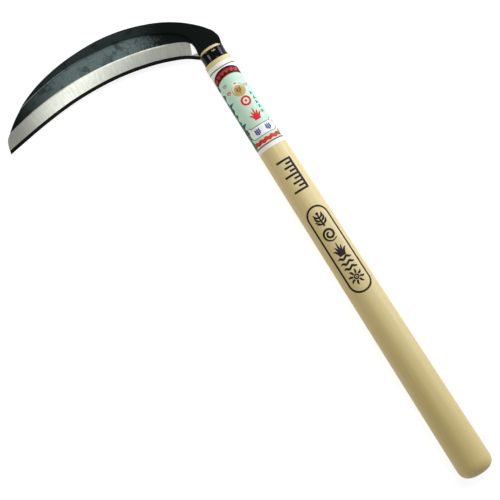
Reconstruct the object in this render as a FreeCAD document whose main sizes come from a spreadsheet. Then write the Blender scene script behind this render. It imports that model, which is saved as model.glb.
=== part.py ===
import FreeCAD, Part
import math
import os
import Sketcher

# Hand sickle, millimetres.
# +X runs along the wooden handle from the butt to the head, +Y runs from the handle towards the
# blade's tip, and +Z is the side that carries the ground bevel.
# The origin is the centre of the butt's flat, on the handle's axis.
# The tool lies as it rests on a table: the blade's plane is rolled a little about +X, until the
# blade's tip is as low as the underside of the butt.

DIMENSIONS = {
    # handle: semi-axes of its oval section, half_width along Y and half_depth along Z
    "shoulder_x": 400.3,  # where the wood steps down into the ferrule
    "butt_half_width": 15.15,
    "butt_half_depth": 12.8,
    "shoulder_half_width": 12.05,
    "shoulder_half_depth": 10.2,
    "butt_round": 9.5,
    "shoulder_round": 0.9,
    "nose_length": 3.0,  # wood that stands out of the ferrule
    "nose_round": 2.9,
    # ferrule, with the tenon that it holds together
    "ferrule_length": 9.9,
    "ferrule_half_width": 10.9,
    "ferrule_half_depth": 9.3,
    "ferrule_wall": 1.15,
    "ferrule_rim_round": 0.7,
    "fit_gap": 0.04,  # between curved faces that fit each other
    # blade plate
    "plate_thickness": 3.4,
    "web_thickness": 2.0,
    "steel_thickness": 0.6,
    "edge_thickness": 0.1,
    "sweep_x": 188.0,  # centre of the arcs of cutting edge, bevels and weld line
    "sweep_y": 121.5,
    "edge_radius": 251.0,
    "hone_width": 2.1,  # the narrow honed bevel, which shows the hard steel
    "grind_width": 14.4,  # from the edge to the top of the wide ground bevel
    "weld_width": 19.0,  # from the edge to the top of the hard steel on the back
    "plunge_y": 9.9,  # where the grinding ends at the heel
    "plunge_slope": 14.0,
    "tip_radius": 19.7,
    "spine_tip_radius": 122.7,
    "spine_middle_radius": 167.5,
    "spine_head_radius": 111.9,
    "neck_radius": 41.0,
    "rib_radius": 197.0,  # inner border of the thick rib along the spine
    "rib_head_radius": 77.6,
    "rib_heel_radius": 20.0,
    # tang, inside the handle
    "tang_end_x": 346.0,
    "tang_end_half_width": 4.0,
    "tang_root_half_width": 6.9,
    "tang_head_half_width": 9.4,
    "pin_x": 377.0,
    "pin_radius": 1.5,
    "pin_half_length": 9.9,
    "pin_chamfer": 0.3,
    # printed paper label round the head of the handle
    "label_low_x": 312.2,
    "label_high_x": 395.9,
    "label_thickness": 0.15,
    # how the tool rests
    "rest_roll": 3.34,  # degrees, blade side down
}

doc = FreeCAD.newDocument("hand_sickle")
sheet = doc.addObject("Spreadsheet::Sheet", "dimensions")
# places that more than one piece is built to
SHOULDER = "shoulder_x"
FERRULE_END = "shoulder_x + ferrule_length"
PLATE_BACK = "-plate_thickness / 2"
FAR = "300"  # reaches past the whole blade
SECTOR_ANGLES = (-35, 30)  # from short of the heel to past the tip


def fill_sheet():
    for number, (alias, value) in enumerate(DIMENSIONS.items(), start=1):
        sheet.set(f"A{number}", alias)
        sheet.set(f"B{number}", str(value))
        sheet.setAlias(f"B{number}", alias)
    doc.recompute()


def bound(text):
    """The expression with each driving dimension's name turned into its cell of the sheet."""
    words = []
    word = ""
    for letter in text + " ":
        if letter.isalnum() or letter == "_":
            word += letter
            continue
        words.append("dimensions." + word if word in DIMENSIONS else word)
        words.append(letter)
        word = ""
    return "".join(words).strip()


def value_of(text):
    """The present value of an expression in the driving dimensions."""
    return float(sheet.evalExpression(bound(text)))


def bind(feature, **sizes):
    """Binds properties to expressions; a double underscore in a name stands for a dot."""
    for name, text in sizes.items():
        feature.setExpression(name.replace("__", "."), bound(text))


def boolean(kind, name, base, tool):
    result = doc.addObject(kind, name)
    result.Base = base
    result.Tool = tool
    doc.recompute()
    return result


def draw_outline(sketch, corners):
    """Closes an anticlockwise outline through corners, each (x, y, radius of the side that
    arrives there), all expressions. A radius of None is a straight side; arcs bulge outwards."""
    points = [FreeCAD.Vector(value_of(x), value_of(y), 0) for x, y, _ in corners]
    for index, (_, _, radius) in enumerate(corners):
        start = points[index - 1]
        end = points[index]
        if radius is None:
            sketch.addGeometry(Part.LineSegment(start, end))
            continue
        chord = end - start
        size = value_of(radius)
        sagitta = size - math.sqrt(size**2 - (chord.Length / 2) ** 2)
        outwards = FreeCAD.Vector(chord.y, -chord.x, 0).normalize()
        sketch.addGeometry(Part.Arc(start, (start + end) * 0.5 + outwards * sagitta, end))
    for side, (x, y, radius) in enumerate(corners):
        following = (side + 1) % len(corners)
        sketch.addConstraint(Sketcher.Constraint("Coincident", side, 2, following, 1))
        constrain(sketch, x, "DistanceX", -1, 1, side, 2)
        constrain(sketch, y, "DistanceY", -1, 1, side, 2)
        if radius is not None:
            constrain(sketch, radius, "Radius", side)


def constrain(sketch, text, *constraint):
    number = sketch.addConstraint(Sketcher.Constraint(*constraint, value_of(text)))
    sketch.setExpression(f"Constraints[{number}]", bound(text))


def sketch_in(body, name, corners, height):
    """A sketch on the body's XY plane, lifted to a height."""
    sketch = body.newObject("Sketcher::SketchObject", name)
    plane = next(face for face in body.Origin.OriginFeatures if face.Role == "XY_Plane")
    sketch.AttachmentSupport = [(plane, "")]
    sketch.MapMode = "FlatFace"
    bind(sketch, AttachmentOffset__Base__z=height)
    draw_outline(sketch, corners)
    return sketch


def sector(name, corners, first_angle, last_angle):
    """Turns an outline in radius and height about the blade's sweep centre, from the first to
    the last angle in degrees from +X."""
    sketch = doc.addObject("Sketcher::SketchObject", name + "_profile")
    upright = FreeCAD.Rotation(FreeCAD.Vector(1, 0, 0), 90)
    turned = FreeCAD.Rotation(FreeCAD.Vector(0, 0, 1), first_angle)
    sketch.Placement = FreeCAD.Placement(FreeCAD.Vector(), turned * upright)
    bind(sketch, Placement__Base__x="sweep_x", Placement__Base__y="sweep_y")
    draw_outline(sketch, corners)
    turning = doc.addObject("Part::Revolution", name)
    turning.Source = sketch
    turning.Axis = (0, 0, 1)
    turning.Angle = last_angle - first_angle
    turning.Solid = True
    bind(turning, Base__x="sweep_x", Base__y="sweep_y")
    doc.recompute()
    return turning


def oval_bar(name, *stations):
    """A straight bar along X whose oval section may taper: each station is (x, half width,
    half depth)."""
    across = FreeCAD.Rotation(0.5, 0.5, 0.5, 0.5)  # turns X to Y, Y to Z and Z to X
    ovals = []
    for x, half_width, half_depth in stations:
        oval = doc.addObject("Part::Ellipse", f"{name}_oval_{len(ovals)}")
        oval.Placement = FreeCAD.Placement(FreeCAD.Vector(), across)
        bind(oval, MajorRadius=half_width, MinorRadius=half_depth, Placement__Base__x=x)
        ovals.append(oval)
    bar = doc.addObject("Part::Loft", name)
    bar.Sections = ovals
    bar.Solid = True
    bar.Ruled = True
    doc.recompute()
    return bar


def straight_bar(name, from_x, to_x, half_width, half_depth):
    return oval_bar(name, (from_x, half_width, half_depth), (to_x, half_width, half_depth))


def wood_bar(name, from_x, to_x, proud):
    """The handle's tapering oval between two places, proud of the wood by so much all round."""
    stations = []
    for x in (from_x, to_x):
        part_way = f"({x}) / shoulder_x"
        width = f"butt_half_width + (shoulder_half_width - butt_half_width) * {part_way} + {proud}"
        depth = f"butt_half_depth + (shoulder_half_depth - butt_half_depth) * {part_way} + {proud}"
        stations.append((x, width, depth))
    return oval_bar(name, *stations)


def rounded(name, base, *rounds):
    """Rounds, for each (x, radius), the widest edge that lies in the plane at x."""
    edges = []
    for x, radius in rounds:
        in_plane = [
            (edge.BoundBox.YLength, number)
            for number, edge in enumerate(base.Shape.Edges, start=1)
            if edge.BoundBox.XLength < 0.01 and abs(edge.BoundBox.XMin - value_of(x)) < 0.01
        ]
        edges.append((max(in_plane)[1], value_of(radius), value_of(radius)))
    fillet = doc.addObject("Part::Fillet", name)
    fillet.Base = base
    fillet.Edges = edges
    doc.recompute()
    return fillet


def make_plate():
    """Blade, neck and tang in one forged plate, with the web hollowed out on the front."""
    body = doc.addObject("PartDesign::Body", "plate")
    outline = [
        ("tang_end_x", "tang_end_half_width", None),
        ("tang_end_x", "-tang_end_half_width", None),
        (f"{SHOULDER} - 0.6", "-tang_root_half_width", None),
        (f"{SHOULDER} + 0.2", "-tang_head_half_width", None),
        (f"{FERRULE_END} + 0.2", "-tang_head_half_width", None),
        (f"{FERRULE_END} + 0.2", "-10.7", None),
        ("415.6", "-12.1", None),
        ("418.6", "-12.1", None),
        ("437.7", "-0.2", "neck_radius"),
        ("466.4", "48", "spine_head_radius"),
        ("473.5", "100", "spine_middle_radius"),
        ("446.1", "182.8", "spine_tip_radius"),
        ("430.2", "190.6", "tip_radius"),
        (f"{FERRULE_END} + 0.2", "11.4", None),
        (f"{FERRULE_END} + 0.2", "tang_head_half_width", None),
        (f"{SHOULDER} + 0.2", "tang_head_half_width", None),
        (f"{SHOULDER} - 0.6", "tang_root_half_width", None),
    ]
    pad = body.newObject("PartDesign::Pad", "plate_pad")
    pad.Profile = sketch_in(body, "plate_outline", outline, PLATE_BACK)
    bind(pad, Length="plate_thickness")
    doc.recompute()
    web = [
        ("424.5", "9", None),
        ("437.2", "15.2", "rib_heel_radius"),
        ("452.8", "38.8", "rib_head_radius"),
        ("455.4", "172.6", "rib_radius"),
        ("455.4", FAR, None),
        ("380", FAR, None),
        ("380", "9.6", None),
    ]
    pocket = body.newObject("PartDesign::Pocket", "web_hollow")
    pocket.Profile = sketch_in(body, "web_outline", web, "plate_thickness / 2")
    bind(pocket, Length="plate_thickness - web_thickness")
    doc.recompute()
    body.Tip = pocket
    return body


def make_grinding():
    """What the grindstone takes away: all above the wide bevel and the hone, and all past the
    edge. It fades out at the heel along a sloping plane."""
    stone = sector(
        "grindstone",
        [
            ("100", f"{PLATE_BACK} - 5", None),
            ("edge_radius", f"{PLATE_BACK} - 5", None),
            ("edge_radius", f"{PLATE_BACK} + edge_thickness", None),
            ("edge_radius + hone_width", f"{PLATE_BACK} + steel_thickness", None),
            ("edge_radius + grind_width", f"{PLATE_BACK} + web_thickness", None),
            ("edge_radius + grind_width", "30", None),
            ("100", "30", None),
        ],
        *SECTOR_ANGLES,
    )
    reach = doc.addObject("Part::Box", "grinding_reach")
    sloping = FreeCAD.Rotation(FreeCAD.Vector(1, 0, 0), -value_of("plunge_slope"))
    reach.Placement = FreeCAD.Placement(FreeCAD.Vector(), sloping)
    bind(
        reach,
        Length=FAR,
        Width=FAR,
        Height=FAR,
        Placement__Base__x=SHOULDER,
        Placement__Base__y="plunge_y",
        Placement__Base__z=f"{PLATE_BACK} + web_thickness",
    )
    return boolean("Part::Common", "grinding", stone, reach)


def make_steel_room():
    """Where the hard steel lies: a thin layer on the back, from the weld line to the edge."""
    layer = sector(
        "steel_layer",
        [
            ("100", f"{PLATE_BACK} - 5", None),
            ("edge_radius + weld_width", f"{PLATE_BACK} - 5", None),
            ("edge_radius + weld_width", f"{PLATE_BACK} + steel_thickness", None),
            ("100", f"{PLATE_BACK} + steel_thickness", None),
        ],
        *SECTOR_ANGLES,
    )
    reach = doc.addObject("Part::Box", "steel_reach")
    bind(
        reach,
        Length=FAR,
        Width=FAR,
        Height=FAR,
        Placement__Base__x=SHOULDER,
        Placement__Base__y="plunge_y",
        Placement__Base__z="-150",
    )
    return boolean("Part::Common", "steel_room", layer, reach)


def make_blade():
    """Returns the soft iron body and the hard steel that is forge-welded to its back."""
    blank = boolean("Part::Cut", "ground_plate", make_plate(), make_grinding())
    room = make_steel_room()
    iron = boolean("Part::Cut", "blade_iron", blank, room)
    steel = boolean("Part::Common", "edge_steel", blank, room)
    return iron, steel


def pin_bar(name, grow):
    """A round bar across tang and wood, larger than the pin by so much all round."""
    bar = doc.addObject("Part::Cylinder", name)
    bind(
        bar,
        Radius=f"pin_radius + {grow}",
        Height=f"2 * (pin_half_length + {grow})",
        Placement__Base__x="pin_x",
        Placement__Base__z=f"-pin_half_length - {grow}",
    )
    doc.recompute()
    return bar


def make_pin():
    """Cut wire with both ends chamfered, so that it can be driven in."""
    pin = doc.addObject("Part::Chamfer", "tang_pin")
    pin.Base = pin_bar("pin_wire", "0")
    size = value_of("pin_chamfer")
    edges = enumerate(pin.Base.Shape.Edges, start=1)
    rims = [number for number, edge in edges if edge.Curve.TypeId == "Part::GeomCircle"]
    pin.Edges = [(rim, size, size) for rim in rims]
    doc.recompute()
    return pin


def make_handle(blade):
    """Tapered oval bar, with a tenon for the ferrule, slotted for the plate's tang."""
    bar = rounded(
        "handle_bar",
        wood_bar("handle_blank", "0", SHOULDER, "0"),
        ("0", "butt_round"),
        (SHOULDER, "shoulder_round"),
    )
    wall = "ferrule_wall - fit_gap"
    nose = f"{FERRULE_END} + nose_length"
    tenon = rounded(
        "tenon",
        straight_bar(
            "tenon_blank",
            f"{SHOULDER} - 5",
            nose,
            f"ferrule_half_width - {wall} - 2 * fit_gap",
            f"ferrule_half_depth - {wall} - 2 * fit_gap",
        ),
        (nose, "nose_round"),
    )
    wood = boolean("Part::Fuse", "handle_wood", bar, tenon)
    slotted = boolean("Part::Cut", "slotted_handle", wood, blade)
    return boolean("Part::Cut", "handle", slotted, pin_bar("pin_hole", "fit_gap"))


def make_ferrule():
    """Drawn oval ring on the tenon, with both rims rolled over."""
    ring = rounded(
        "ferrule_ring",
        straight_bar("ferrule_blank", SHOULDER, FERRULE_END, "ferrule_half_width", "ferrule_half_depth"),
        (SHOULDER, "ferrule_rim_round"),
        (FERRULE_END, "ferrule_rim_round"),
    )
    bore = straight_bar(
        "ferrule_bore",
        f"{SHOULDER} - 1",
        f"{FERRULE_END} + 1",
        "ferrule_half_width - ferrule_wall",
        "ferrule_half_depth - ferrule_wall",
    )
    return boolean("Part::Cut", "ferrule", ring, bore)


def make_label():
    """Paper sleeve round the wood, just below the shoulder."""
    sleeve = wood_bar("label_outside", "label_low_x", "label_high_x", "fit_gap + label_thickness")
    inside = wood_bar("label_inside", "label_low_x - 1", "label_high_x + 1", "fit_gap")
    return boolean("Part::Cut", "paper_label", sleeve, inside)


def check_document():
    """Stops where a feature failed, which recomputing does not."""
    for item in doc.Objects:
        if "Invalid" in item.State or "Error" in item.State:
            raise RuntimeError(f"{item.Name} failed: {item.State}")


def write(pieces):
    os.makedirs("parts", exist_ok=True)
    for name, piece in pieces.items():
        shape = piece.Shape
        if shape.isNull() or not shape.isValid() or len(shape.Solids) != 1:
            raise RuntimeError(f"{name} is not one valid solid")
        print(name, round(shape.Volume), "mm3", shape.BoundBox)
        shape.exportStep(f"parts/{name}.step")


def main():
    fill_sheet()
    iron, steel = make_blade()
    pieces = {
        "blade_body": boolean("Part::Cut", "blade_body", iron, pin_bar("tang_hole", "fit_gap")),
        "edge_steel": steel,
        "handle": make_handle(iron),
        "ferrule": make_ferrule(),
        "tang_pin": make_pin(),
        "paper_label": make_label(),
    }
    rest = FreeCAD.Rotation(FreeCAD.Vector(1, 0, 0), -value_of("rest_roll"))
    for name, piece in pieces.items():
        piece.Label = name
        piece.Placement = FreeCAD.Placement(FreeCAD.Vector(), rest) * piece.Placement
    doc.recompute()
    check_document()
    write(pieces)


main()
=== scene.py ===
import math

import bmesh
import bpy
import numpy as np
from mathutils import Matrix, Vector, geometry


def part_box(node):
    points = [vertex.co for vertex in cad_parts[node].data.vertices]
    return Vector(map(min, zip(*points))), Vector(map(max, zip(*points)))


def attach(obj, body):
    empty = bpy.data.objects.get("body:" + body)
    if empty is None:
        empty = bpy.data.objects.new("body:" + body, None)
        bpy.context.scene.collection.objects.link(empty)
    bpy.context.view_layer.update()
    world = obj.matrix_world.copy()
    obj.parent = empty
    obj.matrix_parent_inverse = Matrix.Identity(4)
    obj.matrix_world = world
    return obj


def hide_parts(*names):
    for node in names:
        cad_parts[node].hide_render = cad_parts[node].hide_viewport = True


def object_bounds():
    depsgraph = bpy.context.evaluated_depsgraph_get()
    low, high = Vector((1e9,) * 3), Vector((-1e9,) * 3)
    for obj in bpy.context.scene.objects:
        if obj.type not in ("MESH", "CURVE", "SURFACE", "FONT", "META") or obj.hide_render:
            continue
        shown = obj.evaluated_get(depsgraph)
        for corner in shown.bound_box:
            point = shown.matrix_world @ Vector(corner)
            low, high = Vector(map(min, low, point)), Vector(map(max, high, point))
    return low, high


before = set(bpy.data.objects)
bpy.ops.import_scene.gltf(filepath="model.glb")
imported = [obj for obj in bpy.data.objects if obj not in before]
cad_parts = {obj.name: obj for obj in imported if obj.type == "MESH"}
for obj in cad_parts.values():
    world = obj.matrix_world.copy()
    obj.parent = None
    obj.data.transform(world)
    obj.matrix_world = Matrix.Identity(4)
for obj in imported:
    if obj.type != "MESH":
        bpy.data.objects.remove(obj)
cad_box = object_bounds()

# Everything is drawn in the tool's own frame, in millimetres: X along the handle from the butt,
# Y towards the blade's tip, Z out of the bevelled side. TO_ROW then lays the tool down, rolled
# about X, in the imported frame's metres.
MM = 0.001
REST_ROLL = math.radians(3.34)
TO_ROW = Matrix.Rotation(-REST_ROLL, 4, "X") @ Matrix.Scale(MM, 4)


def span_x(node):
    """Where a CAD node starts and ends along the handle, in mm."""
    low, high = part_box(node)
    return low.x / MM, high.x / MM


SHOULDER, FERRULE_END = span_x("ferrule")
LABEL_LOW, LABEL_HIGH = span_x("paper_label")
TANG_END = span_x("blade_body")[0]
NOSE_END = span_x("handle")[1]

# ---------------- meshes

WELD_GAP = 0.004  # points nearer to each other than this become one


def smooth(mesh, crease):
    """Smooth shading, but for edges sharper than the crease, in degrees."""
    mesh.shade_smooth()
    mesh.set_sharp_from_angle(angle=math.radians(crease))


def mesh_object(name, points, faces, materials, face_material=None):
    """A piece from points in the tool's frame."""
    mesh = bpy.data.meshes.new(name)
    mesh.from_pydata([TO_ROW @ Vector(p) for p in points], [], faces)
    for material in materials:
        mesh.materials.append(material)
    if face_material is not None:
        mesh.polygons.foreach_set("material_index", np.asarray(face_material, np.int32))
    mesh.validate()
    smooth(mesh, 30)
    piece = bpy.data.objects.new(name, mesh)
    bpy.context.scene.collection.objects.link(piece)
    return piece


def weld(piece, crease=30):
    """Joins points that lie together, drops the faces that this makes empty, and shades again."""
    mesh = bmesh.new()
    mesh.from_mesh(piece.data)
    bmesh.ops.remove_doubles(mesh, verts=mesh.verts, dist=WELD_GAP * MM)
    bmesh.ops.dissolve_degenerate(mesh, edges=mesh.edges, dist=WELD_GAP * MM / 4)
    bmesh.ops.recalc_face_normals(mesh, faces=mesh.faces)
    mesh.to_mesh(piece.data)
    mesh.free()
    smooth(piece.data, crease)


def tube_faces(rings, around):
    """Quads between closed rings of points that are stored one after the other."""
    faces = []
    for ring in range(rings - 1):
        here, ahead = ring * around, (ring + 1) * around
        for point in range(around):
            after = (point + 1) % around
            faces.append((ahead + point, ahead + after, here + after, here + point))
    return faces


# ---------------- the handle's surface

WOOD_AXES = ((15.15, 12.8), (12.05, 10.2))  # half width and half depth at butt and shoulder
HEADWARD = 0.01  # leans the normals of what lies on the wood a little towards the head
ALONG_WOOD = 0.8  # how nearly a face must lie along the wood to be shaded like it


def wood_axes(x):
    share = x / SHOULDER
    return tuple(butt + (shoulder - butt) * share for butt, shoulder in zip(*WOOD_AXES))


def on_wood(x, angle, proud):
    """A point off the wood by proud: angle in radians from the top, towards -Y."""
    width, depth = wood_axes(x)
    return (x, -(width + proud) * math.sin(angle), (depth + proud) * math.cos(angle))


def smooth_as_wood(piece):
    """Shades the faces that lie along the wood with the oval's own normals."""
    mesh = piece.data
    back = TO_ROW.inverted()
    turn = TO_ROW.to_3x3()
    own = []
    for vertex in mesh.vertices:
        x, y, z = back @ vertex.co
        width, depth = wood_axes(x)
        own.append((turn @ Vector((HEADWARD, y / width**2, z / depth**2))).normalized())
    normals = []
    for face in mesh.polygons:
        for corner in face.vertices:
            along = face.normal.dot(own[corner])
            lies_along = abs(along) > ALONG_WOOD
            normals.append(own[corner] * math.copysign(1, along) if lies_along else face.normal)
    mesh.normals_split_custom_set(normals)


class Girth:
    """Turns a distance round the oval, in mm from the top, into an angle, and back."""

    def __init__(self, x):
        width, depth = wood_axes(x)
        self.angles = np.linspace(-1.5 * math.pi, 1.5 * math.pi, 6001)
        pace = np.hypot(width * np.cos(self.angles), depth * np.sin(self.angles))
        self.lengths = np.concatenate([[0], np.cumsum((pace[1:] + pace[:-1]) / 2)])
        self.lengths *= self.angles[1] - self.angles[0]
        self.lengths -= self.lengths[len(self.lengths) // 2]

    def angle(self, length):
        return float(np.interp(length, self.lengths, self.angles))

    def length(self, angle):
        return float(np.interp(angle, self.angles, self.lengths))


# ---------------- flat artwork, as polygons
# A shape is (ink name, [(u, v), ...]): u is the place along the handle, v the distance round it.
# Where shapes overlap, the later one shows.


def quarter_turn(x, y, radius, start):
    """A quarter of a circle round (x, y), anticlockwise from start, in degrees."""
    turns = [math.radians(start + 15 * i) for i in range(7)]
    return [(x + radius * math.cos(t), y + radius * math.sin(t)) for t in turns]


def disc(ink, u, v, radius, squash=1.0):
    """A disc; squash stretches it round the handle."""
    turns = np.linspace(0, 2 * math.pi, 28, endpoint=False)
    return [(ink, [(u + radius * math.cos(t), v + radius * squash * math.sin(t)) for t in turns])]


def block(ink, u0, u1, v0, v1):
    return [(ink, [(u0, v0), (u1, v0), (u1, v1), (u0, v1)])]


def rounded(ink, u0, u1, v0, v1, radius):
    """A rectangle with round corners."""
    line = []
    for u, v, start in ((u1, v1, 0), (u0, v1, 90), (u0, v0, 180), (u1, v0, 270)):
        centre_u = u + (radius if u == u0 else -radius)
        centre_v = v + (radius if v == v0 else -radius)
        line += quarter_turn(centre_u, centre_v, radius, start)
    return [(ink, line)]


def brush(ink, points, widths, steps=8):
    """A stroke with a varying width along a smooth curve through the points."""
    path = [Vector(p) for p in points]
    knots = [path[0] * 2 - path[1], *path, path[-1] * 2 - path[-2]]
    line, width_at = [], []
    for i in range(1, len(knots) - 2):
        a, b, c, d = knots[i - 1 : i + 3]
        last = i == len(knots) - 3
        for step in range(steps + 1 if last else steps):
            t = step / steps
            line.append(0.5 * (2 * b + (c - a) * t + (2 * a - 5 * b + 4 * c - d) * t**2
                               + (3 * b - a - 3 * c + d) * t**3))
            width_at.append((i - 1 + t) / (len(path) - 1))
    stops = np.linspace(0, 1, len(widths))
    left, right = [], []
    for i, point in enumerate(line):
        ahead = line[min(i + 1, len(line) - 1)] - line[max(i - 1, 0)]
        side = Vector((-ahead.y, ahead.x)).normalized()
        half = float(np.interp(width_at[i], stops, widths)) / 2
        left.append(tuple(point + side * half))
        right.append(tuple(point - side * half))
    return [(ink, left + right[::-1])]


def partition(u_lines, v_lines, shapes):
    """Cuts a rectangle along its grid lines and all the shapes' outlines. Returns the points,
    the triangles, and the ink of the last shape over each triangle, or None."""
    points, edges, loops = [], [], []
    for u in u_lines:
        edges.append((len(points), len(points) + 1))
        points += [(u, v_lines[0]), (u, v_lines[-1])]
    for v in v_lines:
        edges.append((len(points), len(points) + 1))
        points += [(u_lines[0], v), (u_lines[-1], v)]
    for _, outline in shapes:
        area = sum(a[0] * b[1] - b[0] * a[1] for a, b in zip(outline, outline[1:] + outline[:1]))
        outline = outline if area > 0 else outline[::-1]
        loops.append(list(range(len(points), len(points) + len(outline))))
        points += outline
    result = geometry.delaunay_2d_cdt([Vector(p) for p in points], edges, loops, 0, 1e-4, True)
    flat, _, triangles, _, _, covering = result
    inks = [shapes[max(over)][0] if over else None for over in covering]
    return flat, triangles, inks


def wrapped(name, u_lines, v_lines, shapes, low, high, materials, girth,
            lift=lambda v: 0.0):
    """A thin closed layer on the wood, from low to high in mm off its surface, and higher where
    lift says so. Where materials has an entry for None the blank part is kept as well, else
    only the inked shapes are."""
    flat, triangles, inks = partition(u_lines, v_lines, shapes)
    order = list(materials)
    kept = [(t, ink) for t, ink in zip(triangles, inks) if ink in materials]
    points, number = [], {}
    for level in (high, low):
        for corner in sorted({c for t, _ in kept for c in t}):
            u, v = flat[corner]
            number[level, corner] = len(points)
            points.append(on_wood(u, girth.angle(v), level + lift(v)))
    faces, chosen, sides = [], [], {}
    for triangle, ink in kept:
        a, b, c = triangle
        faces.append(tuple(number[high, k] for k in (a, b, c)))
        faces.append(tuple(number[low, k] for k in (c, b, a)))
        chosen += [order.index(ink)] * 2
        for edge in ((a, b), (b, c), (c, a)):
            sides[edge] = order.index(ink)
    for (a, b), ink in sides.items():
        if (b, a) not in sides:
            faces.append((number[high, b], number[high, a], number[low, a], number[low, b]))
            chosen.append(ink)
    piece = mesh_object(name, points, faces, [materials[k] for k in order], chosen)
    smooth_as_wood(piece)
    return piece


# ---------------- handle and ferrule

BUTT_LENGTH, BUTT_POWER = 11.5, 2.6  # where the wood has its full width, and how square its end is
SHOULDER_ROUND, NOSE_ROUND = 0.9, 2.9
FERRULE_AXES, FERRULE_WALL = (11.2, 9.55), 1.15
FIT_GAP, SEAT_GAP = 0.03, 0.02  # between ferrule and wood, across and along the handle
TENON = tuple(half - FERRULE_WALL - FIT_GAP for half in FERRULE_AXES)
RIM, RIM_HEIGHT, RIM_WIDTH = 0.85, 0.26, 1.9  # the ferrule's raised rims; RIM is their rounding
BORE_CHAMFER = 0.2
AROUND = 144  # points round each oval


def oval_loft(name, rings, material, closed=False):
    """Ovals strung along X, each (x, half width, half depth). The ends close unless the
    profile is a loop of its own, as round a hollow ring."""
    points = []
    for x, width, depth in rings:
        for i in range(AROUND):
            turn = 2 * math.pi * i / AROUND
            points.append((x, width * math.cos(turn), depth * math.sin(turn)))
    if closed:
        points += points[:AROUND]
    faces = tube_faces(len(points) // AROUND, AROUND)
    if not closed:
        faces.append(tuple(range(AROUND)))
        faces.append(tuple(reversed(range(len(points) - AROUND, len(points)))))
    piece = mesh_object(name, points, faces, [material])
    weld(piece)
    return piece


def rounded_end(x, axes, radius, steps):
    """Rings over a rounding that ends at x, where the bar has the given half width and depth."""
    rings = []
    for i in range(steps + 1):
        turn = math.radians(90 * i / steps)
        back = radius * (1 - math.cos(turn))
        rings.append((x - radius + radius * math.sin(turn), axes[0] - back, axes[1] - back))
    return rings


def handle(material):
    rings = []
    for i in range(1, 25):  # the butt: nearly flat, with a well rounded rim
        turn = math.radians(90 * i / 24)
        x = BUTT_LENGTH * (1 - math.cos(turn) ** (2 / BUTT_POWER))
        width, depth = wood_axes(x)
        across = math.sin(turn) ** (2 / BUTT_POWER)
        rings.append((x, width * across, depth * across))
    for x in np.linspace(BUTT_LENGTH, SHOULDER - SHOULDER_ROUND, 42)[1:-1]:
        rings.append((x, *wood_axes(x)))
    rings += rounded_end(SHOULDER, wood_axes(SHOULDER - SHOULDER_ROUND), SHOULDER_ROUND, 6)
    rings.append((SHOULDER, *TENON))
    rings += rounded_end(NOSE_END, TENON, NOSE_ROUND, 8)  # where it stands out of the ferrule
    return oval_loft("turned_handle", rings, material)


def ferrule(material):
    """A drawn ring with a slightly raised, rounded rim at both ends."""
    width, depth = (half - RIM_HEIGHT for half in FERRULE_AXES)
    low, high = SHOULDER + SEAT_GAP, FERRULE_END
    bore = RIM_HEIGHT - FERRULE_WALL
    slope = ((-0.45, 1), (-0.2, 0.85), (0, 0.5), (0.2, 0.15), (0.45, 0))  # down from a rim
    profile = [(low + BORE_CHAMFER, bore), (low, bore + BORE_CHAMFER)]
    profile += quarter_turn(low + RIM, RIM_HEIGHT - RIM, RIM, 90)[::-1]
    profile += [(low + RIM_WIDTH + x, RIM_HEIGHT * share) for x, share in slope]
    profile += [(high - RIM_WIDTH - x, RIM_HEIGHT * share) for x, share in reversed(slope)]
    profile += quarter_turn(high - RIM, RIM_HEIGHT - RIM, RIM, 0)[::-1]
    profile += [(high, bore + BORE_CHAMFER), (high - BORE_CHAMFER, bore)]
    rings = [(x, width + off, depth + off) for x, off in profile]
    return oval_loft("painted_ferrule", rings, material, closed=True)


# ---------------- the blade
# Its lines are radii, in mm, that change with the angle, in degrees, round BLADE_CENTRE. The heel
# is at the negative end.

BLADE_CENTRE = (188.0, 121.5)
HEEL, TIP = -26.4, 15.9


def smooth_curve(knots):
    """A smooth line through (angle, radius) knots, level past both ends."""
    at, value = np.array(sorted(knots), float).T
    slope = np.gradient(value, at)

    def curve(x):
        x = np.asarray(x, float)
        i = np.clip(np.searchsorted(at, x) - 1, 0, len(at) - 2)
        gap = at[i + 1] - at[i]
        t = np.clip((x - at[i]) / gap, 0, 1)
        rise = value[i] * (2 * t**3 - 3 * t**2 + 1) + value[i + 1] * (3 * t**2 - 2 * t**3)
        return rise + gap * (slope[i] * (t**3 - 2 * t**2 + t) + slope[i + 1] * (t**3 - t**2))

    return curve


edge_line = smooth_curve([
    (HEEL, 247.6), (-24, 249.9), (-20.5, 250.9), (-14.5, 251.2), (-2, 250.3), (7, 249.9),
    (12, 250.7), (TIP, 252.3)])
grind_line = smooth_curve([
    (-26.6, 249.9), (-26.2, 251.5), (-25.75, 257.2), (-25.2, 261.3), (-24.6, 263.0), (-23.4, 264.6),
    (-21, 265.3), (-12, 265.6), (-2, 265.9), (6, 265.6), (TIP, 265.0)])
step_line = smooth_curve([
    (-26.6, 249.6), (-26.3, 253.0), (-25.7, 259.3), (-25.1, 264.3), (-24.4, 267.6), (-23.3, 270.4),
    (-18.7, 276.1), (-14, 278.9), (-6, 279.0), (-1.1, 278.2), (4.3, 276.1), (9.2, 273.7),
    (TIP, 269.5)])
spine_line = smooth_curve([
    (-30.7, 258.8), (-30.4, 264.1), (-29.6, 269.2), (-28, 273.9), (-26, 277.8), (-21.9, 283.5),
    (-16.8, 287.0), (-11.4, 288.3), (-4.5, 286.5), (0.7, 283.6), (5.2, 279.5), (8.7, 274.6),
    (11, 270.4), (13.3, 265.1), (14.4, 262.3), (15, 259.2), (TIP, 252.3)])
HONE, WELD, BACK_GRIND = 3.0, 19.3, 7.0  # widths from the edge: honed, of hard steel, bright behind
BACK, STEEL_TOP, WEB, RIB = -1.7, -1.1, 0.3, 1.7  # heights
LAND = 0.06  # an edge is never a knife's zero
GRIND_RADIUS = 265.3  # where the bevel reaches the web's height
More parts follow.
